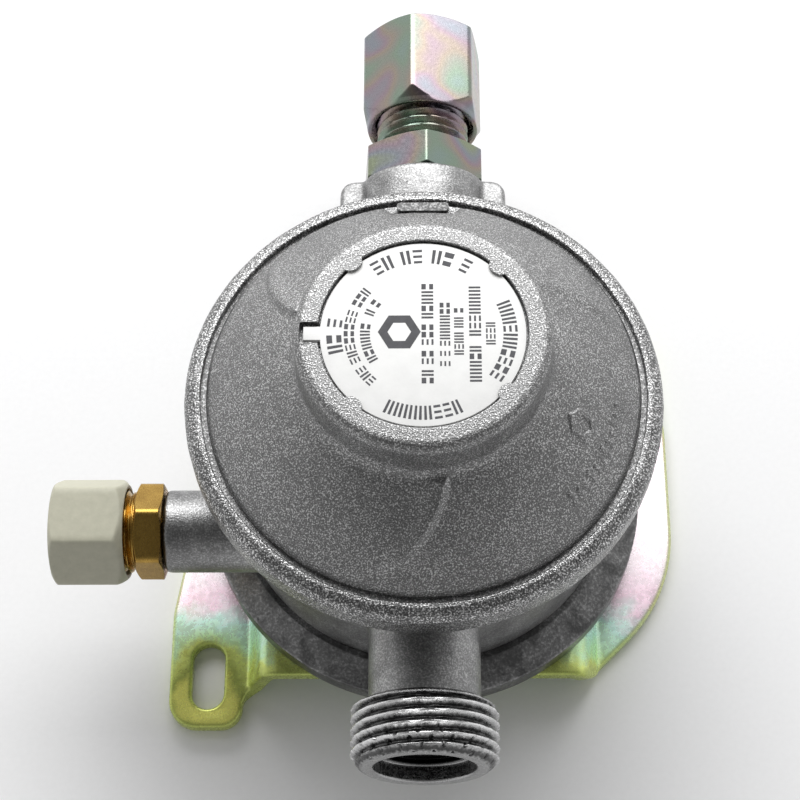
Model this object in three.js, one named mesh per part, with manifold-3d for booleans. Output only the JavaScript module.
// Two-stage gas regulator on a wall bracket. Millimetres, +Z away from the wall.
// The modelling frame has its Z axis on the regulator's main axis and z = 0 at the wall;
// the inlet points to -Y, the outlet to +Y and the test port to -X.
import * as THREE from 'three';
import { mergeVertices } from 'three/addons/utils/BufferGeometryUtils.js';
import Module from 'manifold-3d';

const wasm = await Module();
wasm.setup();

// ---------- driving dimensions ----------

const FINE_SEGMENTS = 36;
const MEDIUM_SEGMENTS = 20;
const SMALL_SEGMENTS = 10;
const FACE_GAP = 0.1;
const EDGE_BREAK = 0.4;

const PORT_Z = 26.5;
const TEST_PORT_Y = -12.2;

const FOOT = {
  sheet: 2.5,
  lift: 6.0,
  leftTopBends: [-26.2, -23.7],
  rightTopBends: [22.9, 25.8],
  sideReach: 42,
  slotWidth: 4.8,
  slotLength: 10,
  slotCentres: [[-32.2, -25.6], [31.7, 24.6]],
  domeHoleRadius: 15,
};
const FOOT_LEFT = -37.9;
const FOOT_RIGHT = 37.9;
// corners of the bracket's flat outline: x, y, corner radius
const FOOT_OUTLINE = [
  [FOOT_LEFT, -33.4, 4.2], [-27.2, -33.4, 4.2], [-26.9, -27.4, 4], [23.1, -27.4, 3],
  [FOOT_RIGHT, -12.7, 36], [FOOT_RIGHT, 14.3, 20], [36, 32.3, 4.5],
  [27.2, 32.3, 4.5], [26.6, 27.4, 2.4], [-14, 27.4, 6], [-33.2, 4.5, 10],
  [-36.8, -9.1, 12], [FOOT_LEFT, -15.7, 12],
];

const SCREW = { circle: 23.5, radius: 1.9, hole: 2.2, headRadius: 3.7, headHeight: 2.6, reach: 21 };

const COVER = {
  radius: 32.03,
  bottom: 8.6,
  sideTop: 12.0,
  top: 14.4,
  topRadius: 28.2,
  domeRadius: 14.2,
  domeBottom: 0.8,
  wall: 1.6,
  chamberRadius: 17,
  seatRadius: 20.4,
  seatZ: 13.5,
};

const BODY = {
  waist: 27.6,
  bottom: 14.6,
  waistTopRadius: 28.2,
  rimRadius: 32.2,
  rimBottom: 40.3,
  rimTop: 44.2,
  lipTop: 46.0,
  lipRadius: 29.75,
  grooveRadius: 30.8,
  seatZ: 42.6,
  chamberRadius: 25,
  chamberFloor: 33,
  lowerChamberRadius: 17,
  lowerChamberTop: 21,
};

const INLET = {
  neckRadius: 7.5,
  threadStart: -37.6,
  threadEnd: -45.2,
  end: -46.1,
  threadRadius: 10,
  endRadius: 8.4,
  pitch: 1.5,
  mouthRadius: 6.9,
  stepY: -43.8,
  stepRadius: 6.05,
  seatY: -43.1,
  boreRadius: 4.4,
  filterSeatY: -27,
  passageRadius: 2.4,
};

const OUTLET = {
  collarRadius: 10.3,
  collarHalfWidth: 8.55,
  collarEnd: 42.5,
  blockHalfWidth: 12.4,
  blockHalfHeight: 5.2,
  blockEnd: 42.5,
  tailRadius: 6.4,
  tailBore: 6.7,
  tailY: 34,
  passageRadius: 4,
  passageEnd: 13,
  riserY: 17,
  riserRadius: 3.4,
};

const SEAL = { inner: 6.75, outer: 7.8, width: 0.9 };

const TEST_PORT = {
  spigotRadius: 5.65,
  end: -36.1,
  threadBore: 3.6,
  threadDepth: -28,
  passageRadius: 1.6,
  riserX: -16,
};

const FITTING = {
  hexFlats: 17.2,
  hexTurn: 94,
  hexStart: 42.65,
  hexEnd: 49.0,
  threadRadius: 7,
  pitch: 1.5,
  end: 59.5,
  coneMouth: 5.3,
  coneDepth: 5.5,
  pipeRadius: 4.05,
  pipeStop: 51,
  boreRadius: 3,
};
const NUT = {
  flats: 17,
  start: 54.6,
  end: 70.7,
  turn: -9.4,
  threadBore: 7.3,
  coneStart: 62.4,
  coneEnd: 65.2,
  pipeHole: 4.2,
};
const FERRULE = { inner: 4.1, outer: 5.0, start: 57, end: 62.6 };

const NIPPLE = {
  hexFlats: 12,
  hexTurn: 28,
  hexStart: -36.2,
  hexEnd: -40.05,
  threadRadius: 5.75,
  pitch: 1,
  end: -47.3,
  tailRadius: 3.35,
  tailEnd: -29.5,
  boreRadius: 1.1,
};
const CAP_SEAL = { radius: 5.2, start: -48.4, end: -47.5 };
const CAP = { flats: 13.8, turn: 1.5, start: -41.4, end: -51.6, bore: 6.05, floor: -48.6 };

const BONNET = {
  flangeRadius: 30.6,
  flangeBottom: 43.95,
  flangeTop: 45.1,
  seamRadius: 29.5,
  bossRadius: 16.4,
  bossFoot: 57.0,
  bossShoulder: 61.9,
  top: 63.0,
  recessRadius: 13.3,
  recessFloor: 61.9,
  screwBore: 9.6,
};
const LABEL = { radius: 13.0, bottom: 61.95, top: 62.65, tabLength: 2.1, tabWidth: 1.9 };
const VENT = { halfWidth: 5, inner: 27.3, floor: 46.3, holeRadius: 0.7, holeZ: 47.2 };

const ADJUSTER = { radius: 9.3, bottom: 56.4, top: 60.8, socketFlats: 8, seatRadius: 5.4, seatDrop: 1.2 };
const MAIN_SPRING = { radius: 7, wire: 0.65, bottom: 46.35, top: 55.55, turns: 3.5 };
const PLATE = { radius: 19.5, bottom: 44.8, top: 45.5, hole: 2.4, rimHeight: 0.9 };
const STEM = { radius: 2, bulbRadius: 2.9, bulbZ: 39.6, bottom: 38.5, shoulder: 40.5, flange: 8, top: 52.4 };
const RELIEF = { springRadius: 3.4, wire: 0.3, bottom: 46.1, top: 49.3, turns: 3, nutFlats: 7 };

const LEVER = {
  pivotX: 10,
  pivotZ: 41.3,
  pinRadius: 1,
  pinHole: 1.06,
  bossRadius: 1.9,
  thickness: 1.2,
  halfWidth: 2.4,
  forkTip: -3.4,
  forkRoot: 2.7,
  forkHalfWidth: 4.2,
  forkHalfGap: 2.35,
  padEnd: 17.2,
};
const POSTS = {
  halfGap: 3.0,
  thickness: 1.2,
  halfLength: 2.6,
  abovePin: 1.5,
  baseHalfWidth: 11,
  baseFrom: 5.8,
  baseTo: 12.2,
  screwY: 8.6,
};
const NOZZLE_X = 16;

const FIRST = {
  diaphragmRadius: 20.2,
  plateRadius: 10,
  springRadius: 8,
  springWire: 0.9,
  nozzleRadius: 3.8,
  valveBore: 4.1,
  valveBoreTop: 31.2,
};

// ---------- surface finishes ----------

function finish(colour, roughness, metalness) {
  return new THREE.MeshStandardMaterial({ color: colour, roughness, metalness });
}

const FINISHES = {
  castBody: finish('#9a9b9a', 0.55, 0.9),
  castBonnet: finish('#6f7173', 0.6, 0.85),
  passivated: finish('#c9cba0', 0.32, 0.95),
  bracketSteel: finish('#d4d8b4', 0.3, 0.95),
  brass: finish('#b08a3e', 0.35, 1.0),
  beigePlastic: finish('#c9c8b9', 0.5, 0.0),
  whiteLabel: finish('#e9e9e6', 0.45, 0.1),
  springSteel: finish('#8d9094', 0.35, 1.0),
  plainSteel: finish('#a5a8ab', 0.4, 0.95),
  blackRubber: finish('#1d1d1f', 0.8, 0.0),
  sinteredBronze: finish('#8c6a3c', 0.85, 0.8),
  darkPlastic: finish('#2b2c2e', 0.55, 0.0),
};

// ---------- solid helpers ----------

const WELD_DISTANCE = 1e-5;

function signedVolume(positions, triangles) {
  const corners = [new THREE.Vector3(), new THREE.Vector3(), new THREE.Vector3()];
  let volume = 0;
  for (let i = 0; i < triangles.length; i += 3) {
    corners.forEach((corner, k) => corner.fromArray(positions, 3 * triangles[i + k]));
    volume += corners[0].dot(corners[1].cross(corners[2])) / 6;
  }
  return volume;
}

// a closed three.js geometry as a solid, facing out whichever way its outline was drawn
function solidOf(geometry) {
  const bare = geometry.clone();
  bare.deleteAttribute('normal');
  bare.deleteAttribute('uv');
  const welded = mergeVertices(bare, WELD_DISTANCE);
  const positions = Float32Array.from(welded.attributes.position.array);
  const triangles = [];
  const index = welded.index.array;
  for (let i = 0; i < index.length; i += 3) {
    const [a, b, c] = [index[i], index[i + 1], index[i + 2]];
    if (a !== b && b !== c && a !== c) triangles.push(a, b, c);
  }
  if (signedVolume(positions, triangles) < 0) triangles.reverse();
  const mesh = new wasm.Mesh({ numProp: 3, vertProperties: positions, triVerts: Uint32Array.from(triangles) });
  return new wasm.Manifold(mesh);
}

function geometryOf(solid) {
  const mesh = solid.getMesh();
  const geometry = new THREE.BufferGeometry();
  geometry.setAttribute('position', new THREE.BufferAttribute(Float32Array.from(mesh.vertProperties), 3));
  geometry.setIndex(new THREE.BufferAttribute(Uint32Array.from(mesh.triVerts), 1));
  geometry.computeVertexNormals();
  return geometry;
}

// how a solid turned about the main axis is laid along each of the three port directions
const ALONG = {
  x: (geometry) => geometry.rotateZ(-Math.PI / 2),
  y: (geometry) => geometry,
  z: (geometry) => geometry.rotateX(Math.PI / 2),
};

// profile: [radius, distance along the axis] points
function turned(axis, profile, segments, centre = [0, 0, 0]) {
  const points = profile.map(([radius, along]) => new THREE.Vector2(radius, along));
  const geometry = ALONG[axis](new THREE.LatheGeometry(points, segments));
  return solidOf(geometry.translate(...centre));
}

function rod(axis, radius, from, to, segments = MEDIUM_SEGMENTS, centre = [0, 0, 0]) {
  return turned(axis, [[0, from], [radius, from], [radius, to], [0, to]], segments, centre);
}

function ring(axis, inner, outer, from, to, segments = MEDIUM_SEGMENTS, centre = [0, 0, 0]) {
  const profile = [[inner, from], [outer, from], [outer, to], [inner, to], [inner, from]];
  return turned(axis, profile, segments, centre);
}

function block(low, high) {
  const size = low.map((value, i) => high[i] - value);
  const centre = low.map((value, i) => (high[i] + value) / 2);
  return solidOf(new THREE.BoxGeometry(...size).translate(...centre));
}

// corners: [x, y, radius]; each corner is replaced by a tangent curve of about that radius
function roundedShape(corners) {
  const shape = new THREE.Shape();
  const count = corners.length;
  corners.forEach(([x, y, radius], i) => {
    const corner = new THREE.Vector2(x, y);
    const [beforeX, beforeY] = corners[(i + count - 1) % count];
    const [afterX, afterY] = corners[(i + 1) % count];
    const toBefore = new THREE.Vector2(beforeX, beforeY).sub(corner).normalize();
    const toAfter = new THREE.Vector2(afterX, afterY).sub(corner).normalize();
    const halfAngle = Math.acos(THREE.MathUtils.clamp(toBefore.dot(toAfter), -1, 1)) / 2;
    const setback = radius / Math.tan(halfAngle);
    const entry = corner.clone().addScaledVector(toBefore, setback);
    const exit = corner.clone().addScaledVector(toAfter, setback);
    if (i === 0) shape.moveTo(entry.x, entry.y);
    else shape.lineTo(entry.x, entry.y);
    shape.quadraticCurveTo(corner.x, corner.y, exit.x, exit.y);
  });
  shape.closePath();
  return shape;
}

function slab(shape, from, to, curveSegments = 6) {
  const geometry = new THREE.ExtrudeGeometry(shape, { depth: to - from, bevelEnabled: false, curveSegments });
  return geometry.translate(0, 0, from);
}

function hexShape(flats, turnDegrees = 0) {
  const corner = flats / Math.sqrt(3);
  const points = Array.from({ length: 6 }, (_, i) => {
    const angle = THREE.MathUtils.degToRad(turnDegrees + 60 * i);
    return new THREE.Vector2(corner * Math.cos(angle), corner * Math.sin(angle));
  });
  return new THREE.Shape(points);
}

// hexagon prism along a port axis, its end corners broken by a cone
function hexBar(axis, flats, from, to, turnDegrees, centre) {
  const corner = flats / Math.sqrt(3);
  const taper = (corner - flats / 2) * 0.6;
  const prism = slab(hexShape(flats, turnDegrees), from, to);
  prism.rotateX(-Math.PI / 2);
  const laid = solidOf(ALONG[axis](prism).translate(...centre));
  const outer = corner + EDGE_BREAK;
  const inner = flats / 2;
  const profile = [
    [0, from], [inner, from], [outer, from + taper + EDGE_BREAK],
    [outer, to - taper - EDGE_BREAK], [inner, to], [0, to],
  ];
  return laid.intersect(turned(axis, profile, MEDIUM_SEGMENTS, centre));
}

// outline of a run of thread crests, as [radius, along] points from start to end
function threadPoints(major, depth, pitch, start, end) {
  const direction = Math.sign(end - start);
  const count = Math.floor(Math.abs(end - start) / pitch);
  const points = [];
  for (let i = 0; i < count; i += 1) {
    const foot = start + direction * pitch * i;
    points.push([major - depth, foot], [major, foot + direction * pitch / 2]);
  }
  points.push([major - depth, start + direction * pitch * count]);
  return points;
}

class Helix extends THREE.Curve {
  constructor(radius, bottom, top, turns) {
    super();
    Object.assign(this, { radius, bottom, top, turns });
  }

  getPoint(t) {
    const angle = 2 * Math.PI * this.turns * t;
    const z = THREE.MathUtils.lerp(this.bottom, this.top, t);
    return new THREE.Vector3(this.radius * Math.cos(angle), this.radius * Math.sin(angle), z);
  }
}

function coilSpring({ radius, wire, bottom, top, turns }) {
  const stepsPerTurn = 16;
  const section = hexShape(2 * wire);
  const extrudePath = new Helix(radius, bottom + wire, top - wire, turns);
  const steps = Math.round(stepsPerTurn * turns);
  return solidOf(new THREE.ExtrudeGeometry(section, { steps, extrudePath }));
}

function joined(first, ...rest) {
  return rest.reduce((sum, piece) => sum.add(piece), first);
}

function cut(solid, ...tools) {
  return tools.reduce((left, tool) => left.subtract(tool), solid);
}

// ---------- the assembly ----------

const regulator = new THREE.Group();

function addPart(name, solid, material, position = [0, 0, 0]) {
  const mesh = new THREE.Mesh(geometryOf(solid), material);
  mesh.name = name;
  mesh.position.set(...position);
  regulator.add(mesh);
}

const atPort = [0, 0, PORT_Z];
const atTestPort = [0, TEST_PORT_Y, PORT_Z];
const screwPlaces = [45, 135, 225, 315].map((degrees) => {
  const angle = THREE.MathUtils.degToRad(degrees);
  return [SCREW.circle * Math.cos(angle), SCREW.circle * Math.sin(angle), 0];
});
const PAD_TOP = FOOT.lift + FOOT.sheet;

// ---------- bracket and its screws ----------

function bracketSheet() {
  const [leftLow, leftHigh] = FOOT.leftTopBends;
  const [rightHigh, rightLow] = FOOT.rightTopBends;
  const leftShift = FOOT.sheet * Math.tan(Math.atan2(FOOT.lift, leftHigh - leftLow) / 2);
  const rightShift = FOOT.sheet * Math.tan(Math.atan2(FOOT.lift, rightLow - rightHigh) / 2);
  const inside = 0.8;
  const outside = inside + FOOT.sheet / 2;
  const section = roundedShape([
    [-FOOT.sideReach, 0, 0], [leftLow + leftShift, 0, outside], [leftHigh + leftShift, FOOT.lift, inside],
    [rightHigh - rightShift, FOOT.lift, inside], [rightLow - rightShift, 0, outside], [FOOT.sideReach, 0, 0],
    [FOOT.sideReach, FOOT.sheet, 0], [rightLow, FOOT.sheet, inside], [rightHigh, PAD_TOP, outside],
    [leftHigh, PAD_TOP, outside], [leftLow, FOOT.sheet, inside], [-FOOT.sideReach, FOOT.sheet, 0],
  ]);
  const sheet = slab(section, -FOOT.sideReach, FOOT.sideReach, 4);
  return solidOf(sheet.rotateX(Math.PI / 2));
}

function slotCutter([x, y]) {
  const half = FOOT.slotWidth / 2;
  const run = FOOT.slotLength / 2 - half;
  const shape = new THREE.Shape().absarc(x, y - run, half, Math.PI, 2 * Math.PI);
  shape.absarc(x, y + run, half, 0, Math.PI);
  return solidOf(slab(shape, -1, FOOT.sheet + 1, 8));
}

const bracketOutline = solidOf(slab(roundedShape(FOOT_OUTLINE), -1, PAD_TOP + 1, 5));
const domeHole = rod('z', FOOT.domeHoleRadius, 0, PAD_TOP + 1, FINE_SEGMENTS);
const bracketScrewHoles = screwPlaces.map((place) => (
  rod('z', SCREW.hole, 1, PAD_TOP + 1, SMALL_SEGMENTS, place)
));
addPart(
  'bracket',
  cut(
    bracketSheet().intersect(bracketOutline),
    ...FOOT.slotCentres.map(slotCutter),
    domeHole,
    ...bracketScrewHoles,
  ),
  FINISHES.bracketSteel,
);

const SCREW_NAMES = ['rear_right', 'rear_left', 'front_left', 'front_right'];
screwPlaces.forEach((place, i) => {
  const headTop = FOOT.lift - FACE_GAP;
  const headBottom = headTop - SCREW.headHeight;
  const profile = [
    [0, headBottom], [SCREW.headRadius - 0.8, headBottom], [SCREW.headRadius, headBottom + 0.8],
    [SCREW.headRadius, headTop], [SCREW.radius, headTop], [SCREW.radius, SCREW.reach - 0.6],
    [SCREW.radius - 0.6, SCREW.reach], [0, SCREW.reach],
  ];
  const socketDepth = 1.5;
  const socket = solidOf(slab(hexShape(3), headBottom - 1, headBottom + socketDepth));
  addPart(
    `bracket_screw_${SCREW_NAMES[i]}`,
    cut(turned('z', profile, SMALL_SEGMENTS), socket),
    FINISHES.plainSteel,
    place,
  );
});

// ---------- first-stage cover ----------

const coverProfile = [
  [0, COVER.domeBottom], [COVER.domeRadius - 1, COVER.domeBottom], [COVER.domeRadius, COVER.domeBottom + 1],
  [COVER.domeRadius, COVER.bottom], [COVER.radius - EDGE_BREAK, COVER.bottom],
  [COVER.radius, COVER.bottom + EDGE_BREAK], [COVER.radius, COVER.sideTop],
  [COVER.radius - EDGE_BREAK, COVER.sideTop + EDGE_BREAK], [COVER.topRadius, COVER.top],
  [COVER.seatRadius, COVER.top], [COVER.seatRadius, COVER.seatZ], [COVER.chamberRadius, COVER.seatZ],
  [COVER.chamberRadius, COVER.sideTop - 0.6], [COVER.domeRadius - COVER.wall, COVER.bottom + 0.8],
  [COVER.domeRadius - COVER.wall, COVER.domeBottom + COVER.wall], [0, COVER.domeBottom + COVER.wall],
];
const coverVent = rod('z', 0.9, 0, COVER.domeBottom + COVER.wall + 1, 12);
addPart(
  'first_stage_cover',
  cut(
    turned('z', coverProfile, FINE_SEGMENTS),
    coverVent,
    ...screwPlaces.map((place) => rod('z', SCREW.hole, COVER.bottom - 1, COVER.top + 1, SMALL_SEGMENTS, place)),
  ),
  FINISHES.castBody,
);

// ---------- die-cast body ----------

const bodyProfile = [
  [0, BODY.lowerChamberTop], [BODY.lowerChamberRadius, BODY.lowerChamberTop],
  [BODY.lowerChamberRadius, BODY.bottom], [BODY.waist - EDGE_BREAK, BODY.bottom],
  [BODY.waist, BODY.bottom + EDGE_BREAK], [BODY.waist, BODY.rimBottom - 6],
  [BODY.waistTopRadius, BODY.rimBottom - 1.6], [BODY.waistTopRadius + 0.7, BODY.rimBottom - 0.4],
  [BODY.waistTopRadius + 1.8, BODY.rimBottom], [BODY.rimRadius - 0.6, BODY.rimBottom],
  [BODY.rimRadius, BODY.rimBottom + 0.6], [BODY.rimRadius, BODY.rimTop - 0.2],
  [BODY.rimRadius - 0.35, BODY.rimTop + 0.75], [BODY.rimRadius - 1.1, BODY.rimTop + 1.35],
  [BODY.lipRadius + 0.5, BODY.lipTop], [BODY.lipRadius, BODY.lipTop - 0.1],
  [BODY.lipRadius, BONNET.flangeTop + FACE_GAP], [BODY.grooveRadius, BONNET.flangeTop + FACE_GAP],
  [BODY.grooveRadius, BODY.seatZ], [BODY.chamberRadius, BODY.seatZ],
  [BODY.chamberRadius, BODY.chamberFloor], [0, BODY.chamberFloor],
];
const inletProfile = [
  [0, -22], [INLET.neckRadius, -22], [INLET.neckRadius, INLET.threadStart + 0.6],
  ...threadPoints(INLET.threadRadius, 0.9, INLET.pitch, INLET.threadStart, INLET.threadEnd),
  [INLET.endRadius, INLET.end], [0, INLET.end],
];
const inletCavity = [
  [0, INLET.end - 1], [INLET.mouthRadius, INLET.end - 1], [INLET.mouthRadius, INLET.stepY],
  [INLET.stepRadius, INLET.stepY], [INLET.stepRadius, INLET.seatY],
  [INLET.boreRadius, INLET.seatY], [INLET.boreRadius, INLET.filterSeatY],
  [INLET.passageRadius, INLET.filterSeatY], [INLET.passageRadius, 0], [0, 0],
];
const outletCavity = [
  [0, OUTLET.collarEnd + 1], [SEAL.outer + FACE_GAP, OUTLET.collarEnd + 1],
  [SEAL.outer + FACE_GAP, OUTLET.collarEnd - SEAL.width - FACE_GAP],
  [OUTLET.tailBore, OUTLET.collarEnd - SEAL.width - FACE_GAP], [OUTLET.tailBore, OUTLET.tailY - 1],
  [OUTLET.passageRadius, OUTLET.tailY - 1], [OUTLET.passageRadius, OUTLET.passageEnd],
  [0, OUTLET.passageEnd],
];
const testCavity = [
  [0, TEST_PORT.end - 1], [TEST_PORT.threadBore, TEST_PORT.end - 1],
  [TEST_PORT.threadBore, TEST_PORT.threadDepth], [TEST_PORT.passageRadius, TEST_PORT.threadDepth],
  [TEST_PORT.passageRadius, TEST_PORT.riserX], [0, TEST_PORT.riserX],
];
const outletBlockShape = roundedShape([
  [-OUTLET.blockHalfWidth, 20, 0], [OUTLET.blockHalfWidth, 20, 0],
  [OUTLET.blockHalfWidth, OUTLET.blockEnd, 2.2], [-OUTLET.blockHalfWidth, OUTLET.blockEnd, 2.2],
]);
const blockBottom = PORT_Z - OUTLET.blockHalfHeight;
const blockTop = PORT_Z + OUTLET.blockHalfHeight;
const innerCore = rod('z', BODY.chamberRadius, BODY.lowerChamberTop, BODY.chamberFloor + 10, FINE_SEGMENTS);
// a round-topped collar with flat sides and a flat underside
const collarSides = solidOf(slab(
  roundedShape([
    [-OUTLET.collarHalfWidth, 20, 0], [OUTLET.collarHalfWidth, 20, 0],
    [OUTLET.collarHalfWidth, OUTLET.collarEnd, 0], [-OUTLET.collarHalfWidth, OUTLET.collarEnd, 0],
  ]),
  PORT_Z - OUTLET.collarHalfWidth, PORT_Z + OUTLET.collarRadius + 1,
));
const collar = collarSides.intersect(
  rod('y', OUTLET.collarRadius, 19, OUTLET.collarEnd + 1, FINE_SEGMENTS, atPort),
);
const castArms = cut(
  joined(
    turned('y', inletProfile, MEDIUM_SEGMENTS, atPort),
    collar,
    solidOf(slab(outletBlockShape, blockBottom, blockTop)),
    rod('x', TEST_PORT.spigotRadius, TEST_PORT.end, -20, MEDIUM_SEGMENTS, atTestPort),
  ),
  innerCore,
);
const leverScrewPlaces = [-POSTS.screwY, POSTS.screwY].map((y) => [LEVER.pivotX, y, 0]);
addPart(
  'body',
  cut(
    joined(turned('z', bodyProfile, FINE_SEGMENTS), castArms),
    turned('y', inletCavity, MEDIUM_SEGMENTS, atPort),
    turned('y', outletCavity, MEDIUM_SEGMENTS, atPort),
    turned('x', testCavity, SMALL_SEGMENTS, atTestPort),
    rod('z', OUTLET.riserRadius, PORT_Z, BODY.chamberFloor + 1, SMALL_SEGMENTS, [0, OUTLET.riserY, 0]),
    rod('z', TEST_PORT.passageRadius, PORT_Z, BODY.chamberFloor + 1, SMALL_SEGMENTS,
      [TEST_PORT.riserX, TEST_PORT_Y, 0]),
    rod('z', FIRST.valveBore, BODY.lowerChamberTop - 1, FIRST.valveBoreTop, MEDIUM_SEGMENTS),
    rod('z', 1.5, BODY.lowerChamberTop - 1, BODY.chamberFloor + 1, SMALL_SEGMENTS, [NOZZLE_X, 0, 0]),
    rod('z', 3.1, BODY.chamberFloor - 4.2, BODY.chamberFloor + 1, SMALL_SEGMENTS, [NOZZLE_X, 0, 0]),
    ...leverScrewPlaces.map((place) => (
      rod('z', 1.6, BODY.chamberFloor - 5, BODY.chamberFloor + 1, SMALL_SEGMENTS, place)
    )),
    ...screwPlaces.map((place) => rod('z', 2.1, BODY.bottom - 1, SCREW.reach + 1, SMALL_SEGMENTS, place)),
  ),
  FINISHES.castBody,
);

// ---------- inlet filter ----------

const filterOuter = INLET.boreRadius - FACE_GAP;
const filterProfile = [
  [0, INLET.filterSeatY - 0.3], [filterOuter, INLET.filterSeatY - 0.3], [filterOuter, INLET.filterSeatY - 1.6],
  [2.6, INLET.filterSeatY - 3], [2.0, INLET.filterSeatY - 9], [0, INLET.filterSeatY - 10],
];
addPart('inlet_filter', turned('y', filterProfile, SMALL_SEGMENTS, atPort), FINISHES.sinteredBronze);

// ---------- first stage ----------

const firstDiaphragm = [
  [1.7, 13.9], [11, 13.9], [12.4, 13.0], [14.2, 13.0], [16, 13.6], [FIRST.diaphragmRadius, 13.6],
  [FIRST.diaphragmRadius, 14.5], [16, 14.5], [14.2, 13.8], [12.4, 13.8], [11, 14.7], [1.7, 14.7], [1.7, 13.9],
];
addPart('first_stage_diaphragm', turned('z', firstDiaphragm, MEDIUM_SEGMENTS), FINISHES.blackRubber);

const firstPlate = [
  [0, 11.4], [1.5, 11.4], [1.5, 14.8], [FIRST.plateRadius - 0.4, 14.8], [FIRST.plateRadius, 15.2],
  [FIRST.plateRadius, 15.7], [3, 15.7], [2.2, 16.7], [0, 16.7],
];
addPart('first_stage_plate', turned('z', firstPlate, MEDIUM_SEGMENTS), FINISHES.brass);
const springSeat = [
  [1.7, 12.3], [6.6, 12.3], [7, 12.9], [FIRST.plateRadius + 0.2, 12.9], [FIRST.plateRadius + 0.2, 13.8],
  [1.7, 13.8], [1.7, 12.3],
];
addPart('first_stage_spring_seat', turned('z', springSeat, MEDIUM_SEGMENTS), FINISHES.plainSteel);
addPart(
  'first_stage_spring',
  coilSpring({ radius: FIRST.springRadius, wire: FIRST.springWire, bottom: 2.5, top: 12.8, turns: 3.5 }),
  FINISHES.springSteel,
);

const firstNozzle = [
  [1.5, 18.8], [4.6, 18.8], [5, 19.2], [5, 20.9], [FIRST.nozzleRadius, 20.9], [FIRST.nozzleRadius, 24.2],
  [2.2, 24.4], [2.0, 25.2], [1.5, 25.2], [1.5, 18.8],
];
addPart('first_stage_nozzle', turned('z', firstNozzle, SMALL_SEGMENTS), FINISHES.brass);
const poppet = [
  [0, 16.9], [0.9, 16.9], [0.9, 26.9], [3.0, 26.9], [3.0, 28.0], [1.4, 28.2], [1.4, 29.2], [0, 29.4],
];
addPart('first_stage_poppet', turned('z', poppet, SMALL_SEGMENTS), FINISHES.brass);
addPart('poppet_seal', ring('z', 1.05, 2.9, 25.7, 26.8, SMALL_SEGMENTS), FINISHES.blackRubber);
addPart(
  'poppet_spring',
  coilSpring({ radius: 2.2, wire: 0.25, bottom: 28.3, top: 31.1, turns: 3 }),
  FINISHES.springSteel,
);

// ---------- second stage: nozzle, valve and lever ----------

const atNozzle = [NOZZLE_X, 0, 0];
const secondNozzle = [
  [0.9, 29.2], [2.8, 29.2], [2.8, 33.1], [3.6, 33.1], [3.6, 35], [2.1, 35.2], [1.7, 36.8], [0.9, 36.8],
  [0.9, 29.2],
];
addPart('second_stage_nozzle', turned('z', secondNozzle, SMALL_SEGMENTS), FINISHES.brass, atNozzle);
addPart('valve_pad', rod('z', 2.4, 38.3, 39.4, SMALL_SEGMENTS), FINISHES.blackRubber, atNozzle);
const carrier = [
  [0, 39.5], [2.5, 39.5], [2.5, 38.5], [3.2, 38.5], [3.2, 39.9], [1.1, 40.1], [1.0, 40.35], [0, 40.4],
];
addPart('valve_carrier', turned('z', carrier, SMALL_SEGMENTS), FINISHES.brass, atNozzle);

const leverTop = LEVER.pivotZ + LEVER.thickness / 2;
const leverBottom = LEVER.pivotZ - LEVER.thickness / 2;
const leverShape = new THREE.Shape([
  [LEVER.forkTip, -LEVER.forkHalfWidth], [LEVER.forkRoot + 2, -LEVER.forkHalfWidth],
  [LEVER.forkRoot + 4, -LEVER.halfWidth], [LEVER.padEnd, -LEVER.halfWidth],
  [LEVER.padEnd, LEVER.halfWidth], [LEVER.forkRoot + 4, LEVER.halfWidth],
  [LEVER.forkRoot + 2, LEVER.forkHalfWidth], [LEVER.forkTip, LEVER.forkHalfWidth],
  [LEVER.forkTip, LEVER.forkHalfGap], [LEVER.forkRoot, LEVER.forkHalfGap],
  [LEVER.forkRoot, -LEVER.forkHalfGap], [LEVER.forkTip, -LEVER.forkHalfGap],
].map(([x, y]) => new THREE.Vector2(x, y)));
const atPivot = [LEVER.pivotX, 0, LEVER.pivotZ];
addPart(
  'lever',
  cut(
    joined(
      solidOf(slab(leverShape, leverBottom, leverTop)),
      rod('y', LEVER.bossRadius, -LEVER.halfWidth, LEVER.halfWidth, SMALL_SEGMENTS, atPivot),
    ),
    rod('y', LEVER.pinHole, -LEVER.halfWidth - 1, LEVER.halfWidth + 1, SMALL_SEGMENTS, atPivot),
  ),
  FINISHES.plainSteel,
);
const pinEnd = POSTS.halfGap + POSTS.thickness + 0.5;
addPart(
  'lever_pin',
  rod('y', LEVER.pinRadius, -pinEnd, pinEnd, SMALL_SEGMENTS),
  FINISHES.springSteel,
  atPivot,
);

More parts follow.
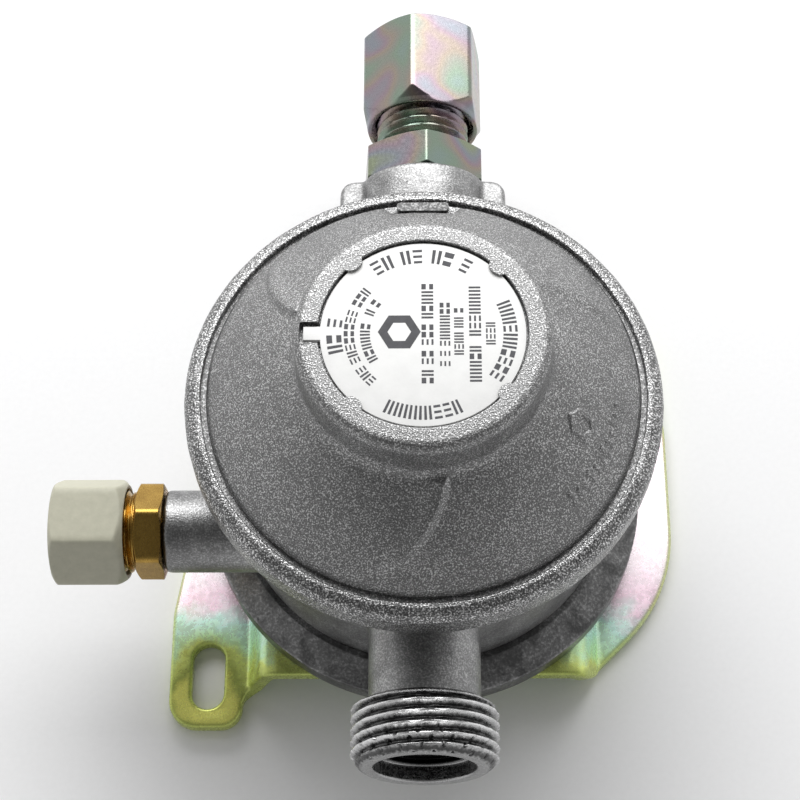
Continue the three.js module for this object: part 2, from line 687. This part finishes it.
const postsFloor = BODY.chamberFloor + FACE_GAP;
const postSides = [-1, 1].map((side) => {
  const inner = side * POSTS.halfGap;
  const outer = side * (POSTS.halfGap + POSTS.thickness);
  return block(
    [LEVER.pivotX - POSTS.halfLength, Math.min(inner, outer), postsFloor],
    [LEVER.pivotX + POSTS.halfLength, Math.max(inner, outer), LEVER.pivotZ + POSTS.abovePin],
  );
});
const postsBase = block(
  [POSTS.baseFrom, -POSTS.baseHalfWidth, postsFloor],
  [POSTS.baseTo, POSTS.baseHalfWidth, postsFloor + POSTS.thickness],
);
addPart(
  'lever_frame',
  cut(
    joined(postsBase, ...postSides),
    rod('y', LEVER.pinRadius + FACE_GAP / 2, -pinEnd - 1, pinEnd + 1, SMALL_SEGMENTS, atPivot),
    ...leverScrewPlaces.map((place) => (
      rod('z', 1.7, postsFloor - 1, postsFloor + POSTS.thickness + 1, SMALL_SEGMENTS, place)
    )),
  ),
  FINISHES.plainSteel,
);
['front', 'rear'].forEach((name, i) => {
  const headBottom = postsFloor + POSTS.thickness + FACE_GAP;
  const profile = [
    [0, BODY.chamberFloor - 4.4], [1.45, BODY.chamberFloor - 4.4], [1.45, headBottom],
    [2.6, headBottom], [2.6, headBottom + 1.2], [2.0, headBottom + 1.8], [0, headBottom + 1.8],
  ];
  addPart(`lever_screw_${name}`, turned('z', profile, SMALL_SEGMENTS), FINISHES.plainSteel, leverScrewPlaces[i]);
});

// ---------- second-stage diaphragm stack ----------

const diaphragmEdge = BODY.grooveRadius - 0.3;
const secondDiaphragm = [
  [2.3, 43.85], [20.2, 43.85], [21.4, 43.3], [23, 43.0], [24.4, 43.0], [25.2, 42.7], [diaphragmEdge, 42.7],
  [diaphragmEdge, 43.85], [25.4, 43.85], [24.4, 43.9], [23, 43.9], [21.6, 44.3], [20.2, 44.7], [2.3, 44.7],
  [2.3, 43.85],
];
addPart('diaphragm', turned('z', secondDiaphragm, FINE_SEGMENTS), FINISHES.blackRubber);
const stemProfile = [
  [0, STEM.bottom], [STEM.bulbRadius - 0.7, STEM.bottom], [STEM.bulbRadius, STEM.bulbZ],
  [STEM.radius, STEM.shoulder], [STEM.radius, 43.2], [STEM.flange, 43.2], [STEM.flange, 43.75],
  [STEM.radius, 43.75], [STEM.radius, STEM.top - 0.5], [STEM.radius - 0.5, STEM.top], [0, STEM.top],
];
addPart('diaphragm_stem', turned('z', stemProfile, SMALL_SEGMENTS), FINISHES.plainSteel);
const plateProfile = [
  [PLATE.hole, PLATE.bottom], [PLATE.radius, PLATE.bottom], [PLATE.radius, PLATE.top + PLATE.rimHeight],
  [PLATE.radius - 0.7, PLATE.top + PLATE.rimHeight], [PLATE.radius - 0.7, PLATE.top], [5.8, PLATE.top],
  [5.2, PLATE.top + 0.6], [PLATE.hole, PLATE.top + 0.5], [PLATE.hole, PLATE.bottom],
];
addPart('diaphragm_plate', turned('z', plateProfile, MEDIUM_SEGMENTS), FINISHES.plainSteel);
addPart(
  'relief_spring',
  coilSpring({
    radius: RELIEF.springRadius, wire: RELIEF.wire, bottom: RELIEF.bottom + 0.1, top: RELIEF.top,
    turns: RELIEF.turns,
  }),
  FINISHES.springSteel,
);
const reliefNut = cut(
  solidOf(slab(hexShape(RELIEF.nutFlats), RELIEF.top + FACE_GAP, RELIEF.top + 2.4)),
  rod('z', STEM.radius + FACE_GAP, RELIEF.top - 1, RELIEF.top + 4, SMALL_SEGMENTS),
);
addPart('relief_nut', reliefNut, FINISHES.brass);
addPart('main_spring', coilSpring(MAIN_SPRING), FINISHES.springSteel);

// ---------- bonnet, adjuster and label ----------

const bonnetProfile = [
  [27.6, BONNET.flangeBottom], [BONNET.flangeRadius, BONNET.flangeBottom],
  [BONNET.flangeRadius, BONNET.flangeTop], [BONNET.seamRadius, BONNET.flangeTop],
  [BONNET.seamRadius, BODY.lipTop], [28.8, 46.8], [24, 51.3], [19, 55.1],
  [BONNET.bossRadius + 0.35, BONNET.bossFoot], [BONNET.bossRadius, BONNET.bossFoot + 1],
  [BONNET.bossRadius, BONNET.bossShoulder - 0.5], [BONNET.bossRadius - 1, BONNET.top - 0.35],
  [BONNET.recessRadius + 0.8, BONNET.top], [BONNET.recessRadius, BONNET.top],
  [BONNET.recessRadius, BONNET.recessFloor], [BONNET.screwBore, BONNET.recessFloor],
  [BONNET.screwBore, 54.6], [14, 54.3], [20, 50.4], [25.6, 46.6], [27.2, 45.2], [27.6, BONNET.flangeBottom],
];
const ventPocket = block([-VENT.halfWidth, VENT.inner, VENT.floor], [VENT.halfWidth, 34, VENT.floor + 6]);
const labelTabSlot = block(
  [-LABEL.radius - LABEL.tabLength - 0.5, -LABEL.tabWidth / 2 - 0.5, LABEL.bottom - 0.05],
  [-LABEL.radius + 0.5, LABEL.tabWidth / 2 + 0.5, BONNET.top + 1],
);
addPart(
  'bonnet',
  cut(
    turned('z', bonnetProfile, FINE_SEGMENTS),
    ventPocket,
    rod('y', VENT.holeRadius, 22, VENT.inner + 1, 12, [0, 0, VENT.holeZ]),
    labelTabSlot,
  ),
  FINISHES.castBonnet,
);
const adjusterProfile = [
  [0, ADJUSTER.bottom], [ADJUSTER.seatRadius, ADJUSTER.bottom - ADJUSTER.seatDrop + 0.4],
  [ADJUSTER.seatRadius + 0.3, ADJUSTER.bottom], [ADJUSTER.radius, ADJUSTER.bottom],
  [ADJUSTER.radius, ADJUSTER.top - EDGE_BREAK], [ADJUSTER.radius - EDGE_BREAK, ADJUSTER.top],
  [0, ADJUSTER.top],
];
const adjusterSocket = solidOf(slab(hexShape(ADJUSTER.socketFlats), ADJUSTER.top - 2.6, ADJUSTER.top + 1));
addPart(
  'adjusting_screw',
  cut(turned('z', adjusterProfile, MEDIUM_SEGMENTS), adjusterSocket),
  FINISHES.darkPlastic,
);
const labelTab = block(
  [-LABEL.radius - LABEL.tabLength, -LABEL.tabWidth / 2, LABEL.bottom],
  [-LABEL.radius + 1, LABEL.tabWidth / 2, LABEL.top],
);
addPart(
  'label_disc',
  joined(rod('z', LABEL.radius, LABEL.bottom, LABEL.top, FINE_SEGMENTS), labelTab),
  FINISHES.whiteLabel,
);
const ventFilterShape = roundedShape([
  [-3.6, VENT.inner + 0.4, 0.5], [3.6, VENT.inner + 0.4, 0.5], [3.6, 29.0, 0.5], [-3.6, 29.0, 0.5],
]);
addPart(
  'vent_filter',
  solidOf(slab(ventFilterShape, VENT.floor + FACE_GAP, VENT.floor + 0.6, 3)),
  FINISHES.sinteredBronze,
);

// ---------- outlet fitting, ferrule and nut ----------

const fittingTurned = [
  [0, OUTLET.tailY], [OUTLET.tailRadius, OUTLET.tailY], [OUTLET.tailRadius, FITTING.hexStart],
  [FITTING.threadRadius - 0.9, FITTING.hexStart], [FITTING.threadRadius - 0.9, FITTING.hexEnd],
  ...threadPoints(FITTING.threadRadius, 0.9, FITTING.pitch, FITTING.hexEnd, FITTING.end - 0.6),
  [FITTING.threadRadius - 0.9, FITTING.end], [0, FITTING.end],
];
const fittingCavity = [
  [0, OUTLET.tailY - 1], [FITTING.boreRadius, OUTLET.tailY - 1], [FITTING.boreRadius, FITTING.pipeStop],
  [FITTING.pipeRadius, FITTING.pipeStop], [FITTING.pipeRadius, FITTING.end - FITTING.coneDepth],
  [FITTING.coneMouth, FITTING.end], [FITTING.coneMouth, FITTING.end + 1], [0, FITTING.end + 1],
];
addPart(
  'outlet_fitting',
  cut(
    joined(
      turned('y', fittingTurned, MEDIUM_SEGMENTS, atPort),
      hexBar('y', FITTING.hexFlats, FITTING.hexStart, FITTING.hexEnd, FITTING.hexTurn, atPort),
    ),
    turned('y', fittingCavity, MEDIUM_SEGMENTS, atPort),
  ),
  FINISHES.passivated,
);
const ferruleProfile = [
  [FERRULE.inner, FERRULE.start], [FERRULE.inner + 0.25, FERRULE.start], [FERRULE.outer - 0.1, 60.2],
  [FERRULE.outer + 0.5, 60.6], [FERRULE.outer + 0.5, 61.6], [FERRULE.inner + 0.6, FERRULE.end],
  [FERRULE.inner, FERRULE.end], [FERRULE.inner, FERRULE.start],
];
addPart('outlet_ferrule', turned('y', ferruleProfile, MEDIUM_SEGMENTS, atPort), FINISHES.plainSteel);
const nutCavity = [
  [0, NUT.start - 1], [NUT.threadBore + 0.9, NUT.start - 1], [NUT.threadBore + 0.9, NUT.start],
  [NUT.threadBore, NUT.start + 0.9], [NUT.threadBore, NUT.coneStart], [NUT.pipeHole + 0.4, NUT.coneEnd],
  [NUT.pipeHole, NUT.coneEnd], [NUT.pipeHole, NUT.end + 1], [0, NUT.end + 1],
];
addPart(
  'outlet_nut',
  cut(
    hexBar('y', NUT.flats, NUT.start, NUT.end, 90 + NUT.turn, atPort),
    turned('y', nutCavity, MEDIUM_SEGMENTS, atPort),
  ),
  FINISHES.passivated,
);
addPart(
  'outlet_seal',
  ring('y', SEAL.inner, SEAL.outer, OUTLET.collarEnd - SEAL.width, OUTLET.collarEnd, MEDIUM_SEGMENTS, atPort),
  FINISHES.blackRubber,
);

// ---------- test nipple and cap ----------

const nippleTurned = [
  [0, NIPPLE.tailEnd], [NIPPLE.tailRadius, NIPPLE.tailEnd], [NIPPLE.tailRadius, NIPPLE.hexStart],
  [NIPPLE.threadRadius - 0.6, NIPPLE.hexStart], [NIPPLE.threadRadius - 0.6, NIPPLE.hexEnd],
  ...threadPoints(NIPPLE.threadRadius, 0.6, NIPPLE.pitch, NIPPLE.hexEnd, NIPPLE.end + 0.4),
  [NIPPLE.threadRadius - 1, NIPPLE.end], [0, NIPPLE.end],
];
addPart(
  'test_nipple',
  cut(
    joined(
      turned('x', nippleTurned, MEDIUM_SEGMENTS, atTestPort),
      hexBar('x', NIPPLE.hexFlats, NIPPLE.hexEnd, NIPPLE.hexStart, NIPPLE.hexTurn, atTestPort),
    ),
    rod('x', NIPPLE.boreRadius, NIPPLE.end - 1, NIPPLE.tailEnd + 1, SMALL_SEGMENTS, atTestPort),
  ),
  FINISHES.brass,
);
addPart(
  'test_seal',
  rod('x', CAP_SEAL.radius, CAP_SEAL.start, CAP_SEAL.end, MEDIUM_SEGMENTS, atTestPort),
  FINISHES.blackRubber,
);
addPart(
  'test_cap',
  cut(
    hexBar('x', CAP.flats, CAP.end, CAP.start, CAP.turn, atTestPort),
    rod('x', CAP.bore, CAP.floor, CAP.start + 1, MEDIUM_SEGMENTS, atTestPort),
  ),
  FINISHES.beigePlastic,
);

// ---------- the part's own frame: middle of its outer box, on the wall face ----------

const outerBox = new THREE.Box3().setFromObject(regulator);
const middle = outerBox.getCenter(new THREE.Vector3());
regulator.position.set(-middle.x, -middle.y, -outerBox.min.z);

export default regulator;
